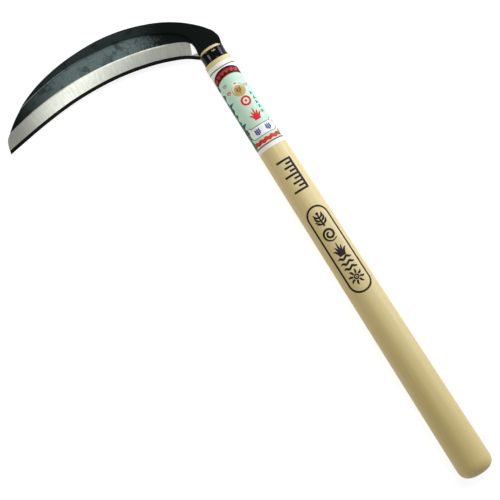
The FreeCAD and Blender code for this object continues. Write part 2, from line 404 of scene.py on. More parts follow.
PLUNGE_Y, PLUNGE = 10.2, math.tan(math.radians(14))  # the slope where the wheel stopped at the heel
PLUNGE_FOOT = 0.6  # how steeply that slope rises from the honed strip
STEP_HALF = 0.6  # half the width of the step up to the rib
WEB_BORDER = (0.12, 0.35)  # lines close above the bevel, which keep its border crisp
TOP_ROUND, BACK_ROUND = 0.55, 0.25  # roundings along the spine
LEAN, LEAN_FROM = 4.24, -17.0  # the sections lean over towards the neck
# the tang from the neck inwards: where, and its half width, None for the blade's own
TANG = [(FERRULE_END + 0.2, None), (FERRULE_END + 0.1, 9.4), (SHOULDER, 9.4), (398.0, 6.9),
        (TANG_END, 4.0)]


def hone_line(angle):
    return edge_line(angle) + HONE


def blade_top(radius, angle):
    """Height of the ground, forged front at a place."""
    hone = hone_line(angle)
    y = BLADE_CENTRE[1] + radius * np.sin(np.radians(angle))
    ground = STEEL_TOP + (WEB - STEEL_TOP) * (radius - hone) / (GRIND_RADIUS - hone)
    plunge = np.minimum(WEB - PLUNGE * (y - PLUNGE_Y), STEEL_TOP + PLUNGE_FOOT * (radius - hone))
    ground = np.minimum(np.maximum(ground, plunge), WEB)
    ground = np.where(radius >= grind_line(angle) - 1e-6, WEB, ground)
    rise = np.clip((radius - step_line(angle) + STEP_HALF) / (2 * STEP_HALF), 0, 1)
    return ground + (RIB - WEB) * rise**2 * (3 - 2 * rise)


def lean(angle):
    past = np.clip((LEAN_FROM - angle) / (LEAN_FROM - HEEL), 0, 1.2)
    return -LEAN * past**2


def on_blade(stations, line):
    """Angles and radii of a line's points, leaned over the more the nearer the spine they are."""
    edge = edge_line(stations)
    share = (line(stations) - edge) / (spine_line(stations) - edge + 1e-9)
    angle = stations + lean(stations) * np.clip(share, 0, 1)
    return angle, line(angle)


def blade_points(angle, radius, height):
    turn = np.radians(angle)
    return np.stack([BLADE_CENTRE[0] + radius * np.cos(turn),
                     BLADE_CENTRE[1] + radius * np.sin(turn),
                     np.broadcast_to(height, radius.shape)], -1)


def room(angle):
    """Width of the iron, which runs out at the tip."""
    return np.maximum(spine_line(angle) - hone_line(angle), 0)


def top_round(angle):
    return np.minimum(TOP_ROUND, 0.3 * room(angle))


def back_round(angle):
    return np.minimum(BACK_ROUND, 0.1 * room(angle))


def crest(angle):
    """Where the spine's rounding begins."""
    return spine_line(angle) - top_round(angle)


def below_crest(line):
    return lambda t: np.minimum(line(t), crest(t))


def from_edge(width):
    """A line that keeps its distance from the edge, as far as the blade reaches."""
    return lambda t: np.minimum(edge_line(t) + width, spine_line(t))


def between(a, b, share):
    return lambda t: a(t) + (b(t) - a(t)) * share


def blade_stations(last):
    """Angles from the heel to the last, closer together at both ends."""
    parts = [np.arange(HEEL, -22.0, 0.06), np.arange(-22.0, 12.0, 0.3), np.arange(12.0, last, 0.08)]
    return np.concatenate([*parts, [last]])


def last_station():
    """Where the end of the blade crosses the line between iron and hard steel."""
    low, high = 14.5, TIP
    for _ in range(60):
        middle = (low + high) / 2
        open_here = spine_line(middle) > hone_line(middle)
        low, high = (middle, high) if open_here else (low, middle)
    return low


def front_lines():
    """The lines of the iron's front, from the honed strip up to the crest, and how many strips
    between them are ground bright."""
    grind = below_crest(lambda t: np.maximum(grind_line(t), hone_line(t)))
    borders = [below_crest(lambda t, off=off: grind(t) + off) for off in WEB_BORDER]
    offs = np.linspace(-STEP_HALF, STEP_HALF, 7)
    steps = [below_crest(lambda t, off=off: np.maximum(step_line(t) + off, grind(t))) for off in offs]
    web = lambda t: np.minimum(borders[-1](t), steps[0](t))

    lines = [hone_line]
    lines += [between(hone_line, grind, share)
              for share in (0.03, 0.1, 0.2, 0.3, 0.4, 0.5, 0.6, 0.7, 0.8, 0.9, 0.96, 0.99)]
    bright = len(lines)
    lines += [grind, *borders]
    lines += [between(web, steps[0], share) for share in (0.25, 0.5, 0.75)]
    lines += steps
    lines += [between(steps[-1], crest, share) for share in (0.25, 0.5, 0.75, 1.0)]
    return lines, bright


def spine_strips(stations):
    """Points over the spine and round to the back, and the height of the iron's underside."""
    angle, radius = on_blade(stations, crest)
    crest_height = np.maximum(blade_top(radius, angle), STEEL_TOP)
    angle, radius = on_blade(stations, spine_line)
    strips = []
    for turn in (30, 60, 90):
        off, drop = math.sin(math.radians(turn)), 1 - math.cos(math.radians(turn))
        reach = top_round(angle)
        strips.append(blade_points(angle, radius - reach * (1 - off), crest_height - reach * drop))
    over_steel = edge_line(angle) + WELD >= radius - 0.02
    under = np.where(over_steel, STEEL_TOP, BACK)
    for turn in (0, 45, 90):
        off, drop = math.cos(math.radians(turn)), 1 - math.sin(math.radians(turn))
        reach = np.where(over_steel, 0.0, back_round(angle))
        strips.append(blade_points(angle, radius - reach * (1 - off),
                                   np.minimum(under + reach * drop, crest_height)))
    return strips, under


def tang_rings(ring, front):
    """The heel's ring of points taken down into the wood, inmost first. Its first points, as
    many as front says, are on the front."""
    middle, half = (ring[:, 1].max() + ring[:, 1].min()) / 2, np.ptp(ring[:, 1]) / 2
    rings = []
    for x, width in TANG:
        section = ring.copy()
        section[:, 0] = x
        if width:
            section[:, 1] = (ring[:, 1] - middle) / half * width
        section[:, 2] = np.where(np.arange(len(ring)) < front, RIB, BACK)
        rings.append(section)
    return rings[::-1]


def blade_piece(name, grid, materials, chosen, crease):
    """A piece from rings of points, closed at the first ring, with a material for each quad."""
    rings, around = grid.shape[:2]
    faces = [*tube_faces(rings, around), tuple(range(around))]
    piece = mesh_object(name, grid.reshape(-1, 3), faces, materials, [*chosen, 1])
    weld(piece, crease)
    return piece


def blade_body(ground, scale):
    """The iron: tang, neck, rib, web and ground bevel, down to the hard steel under it."""
    stations = blade_stations(last_station())
    lines, bright = front_lines()
    strips = []
    for line in lines:
        angle, radius = on_blade(stations, line)
        strips.append(blade_points(angle, radius, blade_top(radius, angle)))
    strips[0][:, 2] = STEEL_TOP
    over, under = spine_strips(stations)
    strips += over
    angle, radius = on_blade(stations, lambda t: np.minimum(edge_line(t) + WELD, spine_line(t) - 1e-4))
    strips.append(blade_points(angle, radius, under))
    strips.append(blade_points(angle, radius, STEEL_TOP))
    strips.append(blade_points(*on_blade(stations, hone_line), STEEL_TOP))

    heel_ring = np.array([strip[0] for strip in strips])
    tang = tang_rings(heel_ring, len(lines) + len(over) // 2)
    grid = np.concatenate([tang, np.stack(strips, 1)])
    look = [0] * bright + [1] * (len(strips) - bright)
    chosen = [1] * len(strips) * len(tang) + look * (len(stations) - 1)
    return blade_piece("forged_blade", grid, [ground, scale], chosen, 32)


def edge_steel(honed, ground, scale):
    """The layer of hard steel: honed in front, black behind, and ground along its edge there."""
    stations = blade_stations(TIP)
    edge, hone, weld_line, bright_line = (from_edge(w) for w in (0, HONE, WELD, BACK_GRIND))
    strips = []

    def strip(line, height):
        strips.append(blade_points(*on_blade(stations, line), height))

    strip(edge, BACK)
    for share in (0, 0.35, 0.7, 1):
        angle, radius = on_blade(stations, between(edge, hone, share))
        rise = (radius - edge_line(angle)) / HONE
        strips.append(blade_points(angle, radius, BACK + LAND + (STEEL_TOP - BACK - LAND) * rise))
    strip(weld_line, np.clip(strips[-1][:, 2], BACK, STEEL_TOP))
    strip(weld_line, BACK)
    strip(bright_line, BACK)
    chosen = ([0] * 4 + [2] * 3 + [1]) * (len(stations) - 1)  # honed, then scale, then ground
    return blade_piece("hard_edge", np.stack(strips, 1), [honed, ground, scale], chosen, 12)


# ---------------- stamps and label


def sprig(ink, u, v, size, width, pairs=2, lean=0.25, bud=True):
    """A stem with leaves in pairs, its head towards the head of the tool."""
    stem = [(u - size, v + lean), (u, v - lean * 0.6), (u + size, v)]
    art = brush(ink, stem, [width, width * 0.7])
    for i in range(pairs):
        at = u - size * 0.75 + i * size * 1.5 / pairs
        for side in (-1, 1):
            leaf = [(at, v), (at + size * 0.3, v + side * size * 0.5),
                    (at + size * 0.75, v + side * size * (0.86 - 0.12 * i))]
            art += brush(ink, leaf, [width * 0.5, width * 1.25, width * 0.3])
    if bud:
        art += disc(ink, u + size * 0.95, v, width * 0.75)
    return art


def ear(ink, u, v, size, width, grains=3):
    """An ear of grain."""
    art = brush(ink, [(u - size, v), (u + size * 0.7, v)], [width * 0.6, width * 0.5])
    for i in range(grains):
        at = u - size * 0.3 + i * size * 1.1 / grains
        for side in (-1, 1):
            grain = [(at - size * 0.12, v + side * width * 0.5),
                     (at + size * 0.12, v + side * size * 0.42),
                     (at + size * 0.42, v + side * size * 0.52)]
            art += brush(ink, grain, [width * 0.5, width * 1.2, width * 0.4], steps=5)
    return art


def curl(ink, u, v, size, width):
    """A tendril that winds in on itself."""
    line = []
    for turn in np.linspace(0.0, 3.3 * math.pi, 15):
        radius = size * (1 - turn / 13.5)
        line.append((u + radius * math.cos(turn + 2.4), v + radius * math.sin(turn + 2.4)))
    return brush(ink, line, [width * 0.5, width, width * 1.1, width, width * 0.7], steps=5)


def waves(ink, u, v, size, width, rows=3):
    """Rows of running water."""
    art = []
    for row in range(rows):
        at = u + size * (row - (rows - 1) / 2) * 0.8
        line = [(at + size * 0.16 * math.sin(t * 1.9 + 0.4), v + size * (t / 3 - 1))
                for t in range(7)]
        art += brush(ink, line, [width * 0.5, width * 1.2, width, width * 1.2, width * 0.5], steps=5)
    return art


def tuft(ink, u, v, size, width, blades=5):
    """Blades of grass that fan out from one foot."""
    art = []
    for i in range(blades):
        side = (i - (blades - 1) / 2) / ((blades - 1) / 2)
        reach = size * (1.9 - 0.75 * abs(side))
        blade = [(u - size, v + side * size * 0.3), (u - size + reach * 0.55, v + side * size * 0.6),
                 (u - size + reach * (1 - 0.25 * abs(side)), v + side * size * 0.98)]
        art += brush(ink, blade, [width, width * 1.1, width * 0.3], steps=5)
    return art + brush(ink, [(u - size, v - size * 0.5), (u - size, v + size * 0.5)], [width, width])


def rosette(ink, u, v, size, width):
    """A close head of petals round a ring."""
    centre = Vector((u, v))
    art = []
    for i in range(8):
        turn = math.pi * i / 4 + 0.2
        out = Vector((math.cos(turn), math.sin(turn)))
        side = Vector((-out.y, out.x)) * size * 0.2
        petal = [centre + out * size * 0.42, centre + out * size * 0.72 + side * 0.4,
                 centre + out * size]
        art += brush(ink, petal, [width, width * 1.1, width * 0.5], steps=4)
    art += disc(ink, u, v, size * 0.36) + disc(None, u, v, size * 0.36 - width * 0.8)
    return art + disc(ink, u, v, width * 0.35)


def stadium(ink, u0, u1, v0, v1, nose):
    """A long frame with rounded ends that start a nose's length short of them."""
    middle, half = (v0 + v1) / 2, (v1 - v0) / 2
    turns = np.linspace(-math.pi / 2, math.pi / 2, 22)
    head = [(u1 - nose + nose * math.cos(t), middle + half * math.sin(t)) for t in turns]
    foot = [(u0 + nose - nose * math.cos(t), middle - half * math.sin(t)) for t in turns]
    return [(ink, head + foot)]


NAME_LOW, NAME_HIGH = 171.0, 252.5  # the framed stamp, on the outside of its line
NAME_V = (-9.0, 11.7)
NAME_LINE = 1.65
NAME_NOSES = (9.5, 8.4)  # length of its rounded ends, outside and inside the line
SIZE_LOW, SIZE_HIGH = 268.0, 298.0
SIZE_BASE = 8.2  # where the rule's ticks start
SIZE_TICKS = (13.2, 6.6, 9.6, 6.6)  # their lengths, over and over
TICK_HALF = 0.92
INK_SINK, INK_RISE = 0.05, 0.02


def stamp(name, shapes, low, high, v_low, v_high, material):
    girth = Girth((low + high) / 2)
    u_lines = np.linspace(low - 0.5, high + 0.5, max(2, int((high - low) / 6)))
    v_lines = np.arange(v_low - 0.5, v_high + 1.0, 1.1)
    return wrapped(name, list(u_lines), list(v_lines), shapes, -INK_SINK, INK_RISE,
                   {"ink": material}, girth)


def name_stamp(material):
    """A long frame with a row of five plain signs."""
    v0, v1 = NAME_V
    line = NAME_LINE
    shapes = stadium("ink", NAME_LOW, NAME_HIGH, v0, v1, NAME_NOSES[0])
    shapes += stadium(None, NAME_LOW + line, NAME_HIGH - line, v0 + line, v1 - line, NAME_NOSES[1])
    v = (v0 + v1) / 2
    shapes += sprig("ink", 239.4, v, 6.0, 1.75, pairs=3)
    shapes += curl("ink", 225.6, v, 6.1, 1.85)
    shapes += tuft("ink", 211.9, v, 6.1, 1.6)
    shapes += waves("ink", 198.2, v, 5.8, 1.75)
    shapes += rosette("ink", 184.9, v, 6.7, 1.7)
    return stamp("stamp_name", shapes, NAME_LOW, NAME_HIGH, v0, v1, material)


def size_stamp(material):
    """A rule: a base line with long and short ticks."""
    shapes = block("ink", SIZE_LOW, SIZE_HIGH, 6.6, 8.7)
    for i, at in enumerate(np.linspace(SIZE_LOW + 0.8, SIZE_HIGH - 0.8, 9)):
        reach = SIZE_TICKS[i % len(SIZE_TICKS)]
        shapes += block("ink", at - TICK_HALF, at + TICK_HALF, SIZE_BASE - reach, SIZE_BASE)
    return stamp("stamp_size", shapes, SIZE_LOW, SIZE_HIGH, -5.5, 8.7, material)


OVERLAP = 5.0  # the sheet laps over itself on the underside
LAP_SLOPE = 2.0  # the stretch in which the lap climbs onto the sheet's other edge
LABEL_THICK, LABEL_SINK = 0.15, 0.01
PANEL = (-19.0, 14.2)  # the printed panel, across the sheet
PANEL_FOOT, PANEL_HEAD = 317.0, 390.0  # and along it
ARCH = (1.0, 23.0)  # centre and radius of the band at its head


def arch_fall(v):
    return (v - ARCH[0]) ** 2 / (2 * ARCH[1])


def arch(ink, crown, thickness, v_low, v_high):
    """A band that bows towards the head of the tool."""
    across = np.linspace(v_low, v_high, 30)
    fall = arch_fall(across)
    outer = list(zip(crown - fall, across))
    inner = list(zip(crown - thickness - fall * 0.92, across))
    return [(ink, outer + inner[::-1])]


def ridge(ink, u0, u1, foot, top, peaks):
    """A low silhouette: it stands on v = foot, and each peak is (share of the length, height)."""
    line = [(u0, foot)]
    for share, height in peaks:
        line.append((u0 + (u1 - u0) * share, foot + (top - foot) * height))
    return [(ink, line + [(u1, foot)])]


def label_ground(v_low, v_high):
    """The panel with its borders, and plain sprigs where the sheet goes round the back."""
    low, high = PANEL
    art = block("mint", PANEL_FOOT - 0.2, PANEL_HEAD, low, high)
    corner = [(PANEL_HEAD + 1.0, v) for v in (high, low)]
    under = [(PANEL_HEAD - arch_fall(v), v) for v in np.linspace(low, high, 24)]
    art += [("white", corner + under)]
    art += block("teal", PANEL_FOOT, 383.0, high - 0.15, high + 0.2)
    art += block("green", PANEL_FOOT, 383.0, low - 0.9, low)
    art += block("brown", 391.3, 392.3, v_low, v_high)
    art += block("brown", PANEL_FOOT - 1.2, PANEL_FOOT, v_low, v_high)
    for row, v in enumerate((-32.0, -25.5, 21.0, 27.5)):
        for i in range(7):
            art += sprig("teal", 325.0 + 9.0 * i + 4.5 * (row % 2), v, 2.2, 0.6, bud=False)
    return art


def label_band():
    """The black arched band with its row of red sprouts."""
    low, high = PANEL[0] + 5.0, PANEL[1] - 0.1
    art = arch("gold", 390.3, 7.7, low, high) + arch("black", 390.4, 7.1, low - 0.4, high)
    for i in range(6):
        v = -11.0 + 4.3 * i
        u = 386.9 - arch_fall(v)
        art += brush("red", [(u - 1.8, v), (u + 1.5, v)], [1.1, 0.8], steps=3)
        for side in (-1, 1):
            leaf = [(u - 1.2, v + side * 0.3), (u + 0.1, v + side * 1.35), (u + 1.5, v + side * 1.35)]
            art += brush("red", leaf, [0.6, 1.2, 0.7], steps=4)
    return art


def label_emblem():
    """A gilt disc with an ear of grain, and four faint sprouts beside it."""
    art = disc("gold", 367.4, 2.3, 5.9)
    art += disc("pale", 368.3, 2.0, 4.7) + disc("gold", 367.3, 2.3, 4.3)
    art += ear("brown", 367.0, 2.3, 3.4, 0.9)
    art += disc("pale", 374.0, 2.2, 1.6, 1.9) + disc("gold", 373.8, 2.2, 0.9, 1.7)
    for u, v, ink in ((376.2, -6.5, "rose"), (369.2, -6.7, "red"), (376.2, 9.8, "pink"),
                      (369.2, 10.2, "rose")):
        for side in (-1, 1):
            line = [(u - 1.7, v + side * 0.2), (u, v + side * 1.5), (u + 1.5, v + side * 0.9)]
            art += brush(ink, line, [0.5, 1.1, 0.5], steps=4)
        art += disc(ink, u + 0.3, v, 0.7)
    return art


def label_marks():
    """The red ring, the red tuft under it, and a column of small teal leaves beside them."""
    art = disc("red", 356.4, 2.5, 4.5) + disc("pale", 356.4, 2.5, 2.6)
    art += [("red", [(357.9, 2.5), (356.4, 4.0), (354.9, 2.5), (356.4, 1.0)])]
    art += tuft("red", 343.9, 3.0, 5.6, 1.5) + block("red", 340.0, 341.4, 0.4, 5.6)
    for i, u in enumerate((360.8, 356.0, 351.8, 347.6, 343.0)):
        side = 1 if i % 2 else -1
        leaf = [(u - 1.6, 10.6 - side), (u, 10.4), (u + 1.5, 10.4 + side)]
        art += brush("teal", leaf, [0.6, 1.5, 0.5], steps=4)
        art += disc("teal", u - 0.9, 10.6 + side * 1.1, 0.6)
    return art


def label_hills():
    """Hills and trees down the left side, with reeds before them and a pool above."""
    art = []
    for ink, u0, u1, top, peaks in (
        ("green", 357.0, 373.0, -10.6, ((0.1, 0.3), (0.3, 0.75), (0.5, 0.6), (0.8, 1.0), (0.95, 0.5))),
        ("slate", 350.5, 362.0, -7.6, ((0.1, 0.5), (0.4, 0.7), (0.7, 0.62), (0.9, 1.0), (0.96, 0.4))),
        ("green", 339.5, 353.5, -10.2, ((0.06, 0.6), (0.25, 0.9), (0.5, 0.62), (0.75, 1.0), (0.95, 0.5))),
        ("slate", 329.5, 342.0, -7.8, ((0.1, 0.7), (0.35, 0.8), (0.62, 0.62), (0.88, 1.0), (0.96, 0.4))),
        ("green", 317.0, 333.0, -10.0, ((0.04, 0.8), (0.25, 0.9), (0.5, 0.7), (0.72, 1.0), (0.95, 0.5))),
    ):
        art += ridge(ink, u0, u1, PANEL[0], top, peaks)
    for u in (372.0, 366.0, 359.0, 348.5, 337.5, 326.0):
        reed = [(u - 4.0, -18.0), (u - 1.0, -15.5), (u + 3.0, -14.4)]
        art += brush("mint", reed, [0.4, 1.0, 0.3], steps=4)
    return art + rounded("blue", 375.4, 379.8, -17.5, -12.2, 1.4)


def label_plaque():
    """A white plaque in a brown line, with a knob at two corners and two blue sprigs."""
    high = PANEL[1]

    def knobs(ink, radius):
        return disc(ink, 333.6, -9.0, radius) + disc(ink, 333.6, 12.8, radius)

    art = knobs("brown", 2.0) + rounded("brown", 323.8, 333.7, -11.6, high - 0.2, 4.0)
    art += rounded("white", 324.4, 333.1, -11.0, high - 0.8, 3.5) + knobs("white", 1.4)
    for v in (-3.2, 6.8):
        art += sprig("blue", 328.6, v, 3.0, 1.0, pairs=3, bud=False)
    return art


def label_ribbon():
    """The red ribbon at the foot of the panel."""
    high = PANEL[1]
    across = np.linspace(-11.5, high - 0.5, 60)
    wave = np.sin((across + 11.5) * 2 * math.pi / 5.1)
    upper, lower = zip(321.7 + wave * 0.5, across), zip(318.1 + wave * 0.45, across)
    art = [("red", list(upper) + list(lower)[::-1])]
    for i in range(5):
        art += disc("brown", 319.9, -9.4 + 5.1 * i, 0.7, 1.4)
    return art + ridge("green", 318.0, 325.0, high, 11.6, ((0.1, 0.3), (0.3, 1.0), (0.7, 0.4)))


def label(materials):
    girth = Girth((LABEL_LOW + LABEL_HIGH) / 2)
    half = girth.length(math.pi)
    v_low, v_high = -half - OVERLAP, half

    def lift(v):  # the lap lies on the sheet's other edge
        return LABEL_THICK * min(max((LAP_SLOPE - half - v) / LAP_SLOPE, 0.0), 1.0)

    def on_sheet(u, v):
        return float(min(max(u, LABEL_LOW), LABEL_HIGH)), float(min(max(v, v_low), v_high))

    art = [*label_ground(v_low, v_high), *label_band(), *label_emblem(), *label_marks(),
           *label_hills(), *label_plaque(), *label_ribbon()]
    art = [(ink, [on_sheet(u, v) for u, v in line]) for ink, line in art]
    u_lines = list(np.linspace(LABEL_LOW, LABEL_HIGH, 18))
    v_lines = list(np.linspace(v_low, v_high, 76))
    return wrapped("printed_label", u_lines, v_lines, art, -LABEL_SINK, LABEL_THICK, materials,
                   girth, lift)


# ---------------- materials


class Nodes:
    """Short hand for building a material's node tree."""

    def __init__(self, name):
        self.material = bpy.data.materials.new(name)
        self.material.use_nodes = True
        self.tree = self.material.node_tree
        self.shader = self.tree.nodes["Principled BSDF"]

    def add(self, kind, settings=None, **inputs):
        node = self.tree.nodes.new(kind)
        for key, value in (settings or {}).items():
            setattr(node, key, value)
        for key, value in inputs.items():
            self.feed(node, key, value)
        return node

    def feed(self, node, key, value):
        """Sets or links the input with this name, or with this number after a _."""
        socket = node.inputs[int(key[1:]) if key[1:].isdigit() else key.replace("_", " ")]
        if isinstance(value, bpy.types.NodeSocket):
            self.tree.links.new(value, socket)
        else:
            socket.default_value = value

    def set(self, **inputs):
        for key, value in inputs.items():
            self.feed(self.shader, key, value)

    def place(self):
        """The place of a point in the tool's own frame, in millimetres."""
        if not hasattr(self, "tool_place"):
            row = self.add("ShaderNodeTexCoord").outputs["Object"]
            turn = self.add("ShaderNodeMapping", {"vector_type": "POINT"}, Vector=row,
                            Rotation=(REST_ROLL, 0, 0), Scale=(1 / MM, 1 / MM, 1 / MM))
            self.tool_place = turn.outputs["Vector"]
        return self.tool_place

    def xyz(self):
        if not hasattr(self, "axes"):
            self.axes = self.add("ShaderNodeSeparateXYZ", Vector=self.place()).outputs
        return self.axes

    def math(self, operation, a, b=0.0, clamp=False):
        settings = {"operation": operation, "use_clamp": clamp}
        return self.add("ShaderNodeMath", settings, _0=a, _1=b).outputs[0]

    def plus(self, a, b):
        return self.math("ADD", a, b)

    def times(self, a, b):
        return self.math("MULTIPLY", a, b)

    def stretched(self, x, y, z):
        """The tool place scaled along each axis, for grain and scratches."""
        return self.add("ShaderNodeVectorMath", {"operation": "MULTIPLY"}, _0=self.place(),
                        _1=(x, y, z)).outputs[0]

    def join(self, x, y, z):
        return self.add("ShaderNodeCombineXYZ", X=x, Y=y, Z=z).outputs[0]

    def noise(self, at, scale, detail=3.0, rough=0.5, distortion=0.0):
        return self.add("ShaderNodeTexNoise", Vector=at, Scale=scale, Detail=detail,
                        Roughness=rough, Distortion=distortion).outputs["Fac"]

    def band(self, value, low, high, to_low=0.0, to_high=1.0, smooth=False):
        kind = "SMOOTHSTEP" if smooth else "LINEAR"
        node = self.add("ShaderNodeMapRange", {"interpolation_type": kind}, Value=value,
                        From_Min=low, From_Max=high, To_Min=to_low, To_Max=to_high)
        return node.outputs["Result"]

    def mix(self, share, a, b):
        """The node's inputs 6 and 7 and its output 2 are those for colours."""
        return self.add("ShaderNodeMix", {"data_type": "RGBA"}, _0=share, _6=a, _7=b).outputs[2]

    def bump(self, height, strength, distance):
        node = self.add("ShaderNodeBump", Strength=strength, Distance=distance, Height=height)
        return node.outputs["Normal"]


def rgb(red, green, blue):
    return (red, green, blue, 1.0)


def srgb(red, green, blue):
    """A colour given as 0-255 screen values."""
    levels = [value / 255 for value in (red, green, blue)]
    return rgb(*(c / 12.92 if c < 0.0404 else ((c + 0.055) / 1.055) ** 2.4 for c in levels))


def darker(colour, share):
    return rgb(*(c * share for c in colour))


def wood_material():
    """Pale magnolia, lathe-smooth under a thin coat, with fine grain along the handle."""
    n = Nodes("magnolia_wood")
    grain = n.noise(n.stretched(0.018, 1.0, 1.0), 1.1, 4.0, 0.62, 0.6)
    pores = n.noise(n.stretched(0.06, 2.2, 2.2), 1.6, 2.0, 0.5)
    cloud = n.noise(n.stretched(0.012, 0.05, 0.05), 1.0, 2.0, 0.5)
    pale, warm = rgb(0.70, 0.555, 0.225), rgb(0.62, 0.47, 0.165)
    colour = n.mix(n.band(grain, 0.38, 0.66), pale, warm)
    colour = n.mix(n.band(cloud, 0.35, 0.7, 0.0, 0.35), colour, rgb(0.71, 0.57, 0.245))
    colour = n.mix(n.band(pores, 0.6, 0.74, 0.0, 0.3), colour, rgb(0.48, 0.34, 0.12))
    # painted shade: the wood is coloured darker towards the butt
    colour = n.mix(n.band(n.xyz()["X"], 20.0, 330.0, 0.45, 0.0), colour, rgb(0.46, 0.345, 0.095))
    # the butt's end: darker end grain, and painted shade on its rounded rim
    end_grain_and_shade = n.band(n.xyz()["X"], 0.5, 5.0, 0.85, 0.0)
    colour = n.mix(end_grain_and_shade, colour, rgb(0.36, 0.24, 0.07))
    n.set(Base_Color=colour, Roughness=n.band(grain, 0.3, 0.7, 0.46, 0.56), Specular_IOR_Level=1.0,
          Normal=n.bump(n.plus(grain, n.times(pores, 0.4)), 0.12, 0.00025))
    return n.material


def from_centre(n):
    """Place, in mm, radius and angle, in degrees, from the centre that the blade's curves share."""
    x = n.math("SUBTRACT", n.xyz()["X"], BLADE_CENTRE[0])
    y = n.math("SUBTRACT", n.xyz()["Y"], BLADE_CENTRE[1])
    radius = n.math("SQRT", n.plus(n.times(x, x), n.times(y, y)))
    return x, y, radius, n.math("DEGREES", n.math("ARCTAN2", y, x))


def scale_material():
    """Blue-black forge scale: matt and mottled; its grey mottling is painted in over the middle of the
    blade as a painted sheen, fading towards the tip and the heel.
    """
    n = Nodes("forge_scale")
    *_, angle = from_centre(n)
    mottle = n.noise(n.place(), 0.085, 4.0, 0.6, 0.5)
    fine = n.noise(n.place(), 0.55, 5.0, 0.7, 0.3)
    speck = n.noise(n.place(), 2.4, 3.0, 0.65)
    # painted sheen: the grey mottling is strongest over the middle of the blade, fades towards the tip
    # and the heel, and shows less on the rib
    ragged = n.plus(angle, n.times(n.math("SUBTRACT", fine, 0.5), 7.0))
    middle_sheen = n.times(n.band(ragged, -20.5, -13.0, smooth=True),
                    n.band(ragged, -3.5, 11.5, 1.0, 0.0, True))
    low = n.band(n.xyz()["Z"], 0.5, 1.5, 1.0, 0.16)
    blot = n.times(n.band(mottle, 0.34, 0.5, 0.42, 1.0, True), n.band(fine, 0.3, 0.6, 0.6, 1.0))
    mottle_and_sheen = n.math("MULTIPLY", n.times(middle_sheen, low), blot, clamp=True)
    colour = n.mix(mottle_and_sheen, rgb(0.0012, 0.004, 0.0027), rgb(0.15, 0.20, 0.192))
    colour = n.mix(n.band(speck, 0.55, 0.75, 0.0, 0.25), colour, rgb(0.007, 0.013, 0.011))
    # the rib's border, painted bright along its crest towards the tip: a painted highlight
    border = n.times(n.band(n.xyz()["Z"], 1.0, 1.35, smooth=True),
                     n.band(n.xyz()["Z"], 1.45, 1.66, 1.0, 0.0, True))
    crest_highlight = n.times(n.times(border, n.band(angle, -9.0, -1.0, 0.0, 0.95)),
                     n.band(mottle, 0.33, 0.47, 0.15, 1.0))
    colour = n.mix(crest_highlight, colour, rgb(0.42, 0.50, 0.46))
    height = n.plus(fine, n.times(speck, 0.4))
    n.set(Base_Color=colour, Roughness=n.band(speck, 0.3, 0.7, 0.46, 0.6),
          Specular_IOR_Level=0.07, Normal=n.bump(height, 0.3, 0.0003))
    return n.material


def heel_slope(n, radius):
    """1 on the small slope where the grinding wheel stopped at the heel, else 0."""
    hone = float(edge_line(HEEL)) + HONE
    fan = n.band(radius, hone, GRIND_RADIUS, STEEL_TOP, WEB)
    slope = n.band(n.xyz()["Y"], PLUNGE_Y, PLUNGE_Y + 10, WEB, WEB - 10 * PLUNGE)
    over = n.band(n.math("SUBTRACT", slope, fan), -0.02, 0.02)
    return n.times(over, n.band(n.xyz()["Z"], STEEL_TOP - 0.2, STEEL_TOP))


def ground_material(name, base, roughness, stretch, scratch, slope_highlight_base=None):
    """Steel ground across the blade: its scratches run towards the centre of its curve, so its
    highlights stretch the other way, along the tangent. It is painted darker towards the tip and
    the heel, as painted shade. Given a colour for the heel's slope, it is painted brighter there,
    a painted highlight, and turns evenly matt."""
    n = Nodes(name)
    x, y, radius, angle = from_centre(n)
    along = n.join(n.times(y, -1.0), n.times(x, math.cos(REST_ROLL)),
                   n.times(x, -math.sin(REST_ROLL)))
    tangent = n.add("ShaderNodeVectorMath", {"operation": "NORMALIZE"}, _0=along).outputs[0]
    polar = n.join(n.times(angle, 4.4), n.times(radius, 0.05), n.xyz()["Z"])
    lines = n.noise(polar, 2.6, 4.0, 0.7)
    streaks = n.noise(polar, 0.62, 3.0, 0.75)
    coarse = n.noise(polar, 0.3, 2.0, 0.5)
    share = n.plus(n.times(lines, 0.4), n.times(streaks, 0.6))
    colour = n.mix(n.band(share, 0.36, 0.62), darker(base, 0.74), rgb(*base))
    # painted shade: darker towards the tip and the heel
    ends = n.plus(n.band(angle, 4.0, 13.0, 0.0, 0.7, True),
                  n.band(angle, -22.0, -11.0, 0.32, 0.0, True))
    colour = n.mix(ends, colour, darker(base, 0.38))
    matt = n.band(coarse, 0.3, 0.7, roughness * 0.93, roughness * 1.07)
    if slope_highlight_base:
        # painted highlight: the heel's slope is coloured brighter than the rest of the bevel
        slope = heel_slope(n, radius)
        painted_slope_colour = n.mix(n.band(lines, 0.3, 0.7), darker(slope_highlight_base, 0.92), rgb(*slope_highlight_base))
        colour = n.mix(slope, colour, painted_slope_colour)
        matt = n.plus(matt, n.times(slope, 0.1))
        stretch = n.times(n.math("SUBTRACT", 1.0, slope), stretch)
    n.set(Base_Color=colour, Metallic=1.0, Roughness=matt, Anisotropic=stretch, Tangent=tangent,
          Normal=n.bump(lines, scratch, 0.0001))
    return n.material


def enamel_material():
    """The ferrule's thick black paint."""
    n = Nodes("black_enamel")
    orange = n.noise(n.place(), 0.5, 2.0, 0.5)
    colour = n.mix(orange, rgb(0.0010, 0.0016, 0.0013), rgb(0.0022, 0.003, 0.0026))
    n.set(Base_Color=colour, Roughness=n.band(orange, 0.3, 0.7, 0.05, 0.07), IOR=1.3,
          Normal=n.bump(orange, 0.03, 0.0002))
    return n.material


